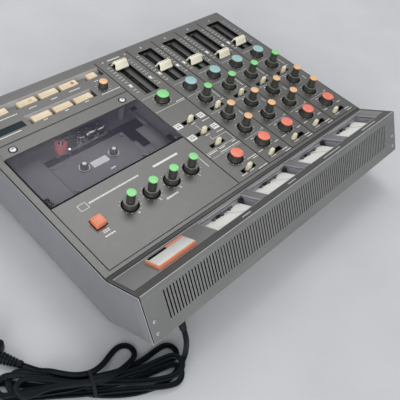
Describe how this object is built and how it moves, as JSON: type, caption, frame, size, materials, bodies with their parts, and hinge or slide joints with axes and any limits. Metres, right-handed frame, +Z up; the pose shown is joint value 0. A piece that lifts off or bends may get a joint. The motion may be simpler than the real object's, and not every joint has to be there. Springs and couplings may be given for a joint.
{
  "type": "four track cassette recorder",
  "caption": "Desktop cassette multitrack recorder with a mixer panel, sloped meter bridge, hinged tape door, transport keys and a wound mains cord.",
  "frame": {"origin": "middle of the recorder's footprint, on the surface it stands on, without the cord", "axes": "+X to the user's right, towards the tape deck; +Y to the rear, towards the meters; +Z up"},
  "size_m": [0.5781, 0.4085, 0.099],
  "materials": {
    "case_plastic": "fine grained moulding, dark warm grey",
    "panel_paint": "satin paint, dark warm grey",
    "cover_paint": "satin paint, dark warm grey",
    "zinc_steel": "zinc plated",
    "chrome_steel": "bright",
    "soft_rubber": "matt",
    "dark_plastic": "satin, nearly black",
    "deck_plastic": "satin, dark grey",
    "ivory_plastic": "satin ivory",
    "red_cap": "black knob with a salmon red cap",
    "blue_cap": "black knob with a pale blue cap",
    "green_cap": "black knob with a pale green cap",
    "orange_cap": "orange",
    "smoky_acrylic": "clear smoky acrylic",
    "meter_plastic": "cream scale in a clear tray",
    "window_plastic": "dark teal window",
    "circuit_board": "green laminate",
    "cord_rubber": "smooth black"
  },
  "bodies": {
    "case": {"case_frame": "case_plastic", "right_side_panel": "case_plastic", "left_side_panel": "case_plastic", "rear_cover": "cover_paint", "bottom_cover": "cover_paint", "line_sockets": "zinc_steel", "cord_gland": "soft_rubber", "rubber_feet": "soft_rubber", "case_screws": "chrome_steel", "level_meters": "meter_plastic", "badge_plate": "orange_cap", "control_panel": "panel_paint", "double_knobs": "dark_plastic", "slide_switches": "ivory_plastic", "tape_counter": "window_plastic", "deck_chassis": "deck_plastic", "head_cover": "deck_plastic", "capstan_motor": "zinc_steel", "drive_belt": "soft_rubber", "control_pots": "zinc_steel", "main_board": "circuit_board", "power_transformer": "zinc_steel", "mains_cord": "cord_rubber", "cord_hank": "cord_rubber", "mains_plug": "cord_rubber"},
    "cassette_door": {"cassette_door": "smoky_acrylic"},
    "play_key": {"play_key": "ivory_plastic"},
    "record_key": {"record_key": "ivory_plastic"},
    "stop_key": {"stop_key": "ivory_plastic"},
    "pause_key": {"pause_key": "ivory_plastic"},
    "rewind_key": {"rewind_key": "ivory_plastic"},
    "fast_forward_key": {"fast_forward_key": "ivory_plastic"},
    "zero_key": {"zero_key": "ivory_plastic"},
    "memo_key": {"memo_key": "ivory_plastic"},
    "power_button": {"power_button": "orange_cap"},
    "head_carriage": {"head_carriage": "zinc_steel"},
    "reel_spindle_left": {"reel_spindle_left": "dark_plastic"},
    "reel_spindle_right": {"reel_spindle_right": "dark_plastic"},
    "capstan_flywheel": {"capstan_flywheel": "zinc_steel"},
    "pinch_roller": {"pinch_roller": "soft_rubber"},
    "fader_cap_1": {"fader_cap_1": "ivory_plastic"},
    "fader_cap_2": {"fader_cap_2": "ivory_plastic"},
    "fader_cap_3": {"fader_cap_3": "ivory_plastic"},
    "fader_cap_4": {"fader_cap_4": "ivory_plastic"},
    "fader_cap_master": {"fader_cap_master": "ivory_plastic"},
    "pitch_knob": {"pitch_knob": "orange_cap"},
    "cue_knob_1": {"cue_knob_1": "green_cap"},
    "cue_knob_2": {"cue_knob_2": "green_cap"},
    "cue_knob_3": {"cue_knob_3": "green_cap"},
    "cue_knob_4": {"cue_knob_4": "green_cap"},
    "trim_knob_1": {"trim_knob_1": "red_cap"},
    "trim_knob_2": {"trim_knob_2": "red_cap"},
    "trim_knob_3": {"trim_knob_3": "red_cap"},
    "trim_knob_4": {"trim_knob_4": "red_cap"},
    "trim_knob_master": {"trim_knob_master": "red_cap"},
    "pan_knob_1": {"pan_knob_1": "blue_cap"},
    "pan_knob_2": {"pan_knob_2": "blue_cap"},
    "pan_knob_3": {"pan_knob_3": "blue_cap"},
    "pan_knob_4": {"pan_knob_4": "blue_cap"},
    "level_knob_master": {"level_knob_master": "green_cap"}
  },
  "joints": [
    {"name": "door_hinge", "type": "hinge", "parent": "case", "child": "cassette_door", "pos_m": [0.1185, 0.008, 0.066], "axis": [-1, 0, 0], "range_deg": [0, 80]},
    {"name": "play_key_press", "type": "slide", "parent": "case", "child": "play_key", "axis": [0, 0, 1], "range_m": [-0.003, 0], "stiffness_N_per_m": 200, "springref_m": 0.001},
    {"name": "record_key_press", "type": "slide", "parent": "case", "child": "record_key", "axis": [0, 0, 1], "range_m": [-0.003, 0], "stiffness_N_per_m": 200, "springref_m": 0.001},
    {"name": "stop_key_press", "type": "slide", "parent": "case", "child": "stop_key", "axis": [0, 0, 1], "range_m": [-0.003, 0], "stiffness_N_per_m": 200, "springref_m": 0.001},
    {"name": "pause_key_press", "type": "slide", "parent": "case", "child": "pause_key", "axis": [0, 0, 1], "range_m": [-0.003, 0], "stiffness_N_per_m": 200, "springref_m": 0.001},
    {"name": "rewind_key_press", "type": "slide", "parent": "case", "child": "rewind_key", "axis": [0, 0, 1], "range_m": [-0.003, 0], "stiffness_N_per_m": 200, "springref_m": 0.001},
    {"name": "fast_forward_key_press", "type": "slide", "parent": "case", "child": "fast_forward_key", "axis": [0, 0, 1], "range_m": [-0.003, 0], "stiffness_N_per_m": 200, "springref_m": 0.001},
    {"name": "zero_key_press", "type": "slide", "parent": "case", "child": "zero_key", "axis": [0, 0, 1], "range_m": [-0.003, 0], "stiffness_N_per_m": 200, "springref_m": 0.001},
    {"name": "memo_key_press", "type": "slide", "parent": "case", "child": "memo_key", "axis": [0, 0, 1], "range_m": [-0.003, 0], "stiffness_N_per_m": 200, "springref_m": 0.001},
    {"name": "power_button_press", "type": "slide", "parent": "case", "child": "power_button", "axis": [0, 0, 1], "range_m": [-0.003, 0], "stiffness_N_per_m": 200, "springref_m": 0.001},
    {"name": "head_carriage_slide", "type": "slide", "parent": "case", "child": "head_carriage", "axis": [0, 1, 0], "range_m": [0, 0.009]},
    {"name": "reel_spindle_left_spin", "type": "hinge", "parent": "case", "child": "reel_spindle_left", "pos_m": [0.0977, -0.0245, 0.055], "axis": [0, 0, 1], "continuous": true},
    {"name": "reel_spindle_right_spin", "type": "hinge", "parent": "case", "child": "reel_spindle_right", "pos_m": [0.1402, -0.0245, 0.055], "axis": [0, 0, 1], "continuous": true},
    {"name": "capstan_spin", "type": "hinge", "parent": "case", "child": "capstan_flywheel", "pos_m": [0.1405, -0.052, 0.043], "axis": [0, 0, 1], "continuous": true},
    {"name": "pinch_roller_spin", "type": "hinge", "parent": "head_carriage", "child": "pinch_roller", "pos_m": [0.1395, -0.0705, 0.053], "axis": [0, 0, 1], "continuous": true},
    {"name": "fader_cap_1_slide", "type": "slide", "parent": "case", "child": "fader_cap_1", "axis": [0, 1, 0], "range_m": [-0.048, 0.0114]},
    {"name": "fader_cap_2_slide", "type": "slide", "parent": "case", "child": "fader_cap_2", "axis": [0, 1, 0], "range_m": [-0.0579, 0.0015]},
    {"name": "fader_cap_3_slide", "type": "slide", "parent": "case", "child": "fader_cap_3", "axis": [0, 1, 0], "range_m": [-0.046, 0.0134]},
    {"name": "fader_cap_4_slide", "type": "slide", "parent": "case", "child": "fader_cap_4", "axis": [0, 1, 0], "range_m": [-0.033, 0.0264]},
    {"name": "fader_cap_master_slide", "type": "slide", "parent": "case", "child": "fader_cap_master", "axis": [0, 1, 0], "range_m": [0, 0.0594]},
    {"name": "pitch_knob_turn", "type": "hinge", "parent": "case", "child": "pitch_knob", "pos_m": [0.0441, -0.1128, 0.073], "axis": [0, 0, -1], "range_deg": [-150, 150]},
    {"name": "cue_knob_1_turn", "type": "hinge", "parent": "case", "child": "cue_knob_1", "pos_m": [0.0537, 0.0594, 0.073], "axis": [0, 0, -1], "range_deg": [-150, 150]},
    {"name": "cue_knob_2_turn", "type": "hinge", "parent": "case", "child": "cue_knob_2", "pos_m": [0.0839, 0.0594, 0.073], "axis": [0, 0, -1], "range_deg": [-150, 150]},
    {"name": "cue_knob_3_turn", "type": "hinge", "parent": "case", "child": "cue_knob_3", "pos_m": [0.1141, 0.0594, 0.073], "axis": [0, 0, -1], "range_deg": [-150, 150]},
    {"name": "cue_knob_4_turn", "type": "hinge", "parent": "case", "child": "cue_knob_4", "pos_m": [0.1443, 0.0594, 0.073], "axis": [0, 0, -1], "range_deg": [-150, 150]},
    {"name": "trim_knob_1_turn", "type": "hinge", "parent": "case", "child": "trim_knob_1", "pos_m": [-0.1934, 0.0784, 0.073], "axis": [0, 0, -1], "range_deg": [-150, 150]},
    {"name": "trim_knob_2_turn", "type": "hinge", "parent": "case", "child": "trim_knob_2", "pos_m": [-0.14685, 0.0784, 0.073], "axis": [0, 0, -1], "range_deg": [-150, 150]},
    {"name": "trim_knob_3_turn", "type": "hinge", "parent": "case", "child": "trim_knob_3", "pos_m": [-0.1003, 0.0784, 0.073], "axis": [0, 0, -1], "range_deg": [-150, 150]},
    {"name": "trim_knob_4_turn", "type": "hinge", "parent": "case", "child": "trim_knob_4", "pos_m": [-0.05375, 0.0784, 0.073], "axis": [0, 0, -1], "range_deg": [-150, 150]},
    {"name": "trim_knob_master_turn", "type": "hinge", "parent": "case", "child": "trim_knob_master", "pos_m": [-0.0031, 0.0784, 0.073], "axis": [0, 0, -1], "range_deg": [-150, 150]},
    {"name": "pan_knob_1_turn", "type": "hinge", "parent": "case", "child": "pan_knob_1", "pos_m": [-0.1934, -0.052, 0.073], "axis": [0, 0, -1], "range_deg": [-150, 150]},
    {"name": "pan_knob_2_turn", "type": "hinge", "parent": "case", "child": "pan_knob_2", "pos_m": [-0.14685, -0.052, 0.073], "axis": [0, 0, -1], "range_deg": [-150, 150]},
    {"name": "pan_knob_3_turn", "type": "hinge", "parent": "case", "child": "pan_knob_3", "pos_m": [-0.1003, -0.052, 0.073], "axis": [0, 0, -1], "range_deg": [-150, 150]},
    {"name": "pan_knob_4_turn", "type": "hinge", "parent": "case", "child": "pan_knob_4", "pos_m": [-0.05375, -0.052, 0.073], "axis": [0, 0, -1], "range_deg": [-150, 150]},
    {"name": "level_knob_master_turn", "type": "hinge", "parent": "case", "child": "level_knob_master", "pos_m": [-0.0031, -0.052, 0.073], "axis": [0, 0, -1], "range_deg": [-150, 150]}
  ]
}
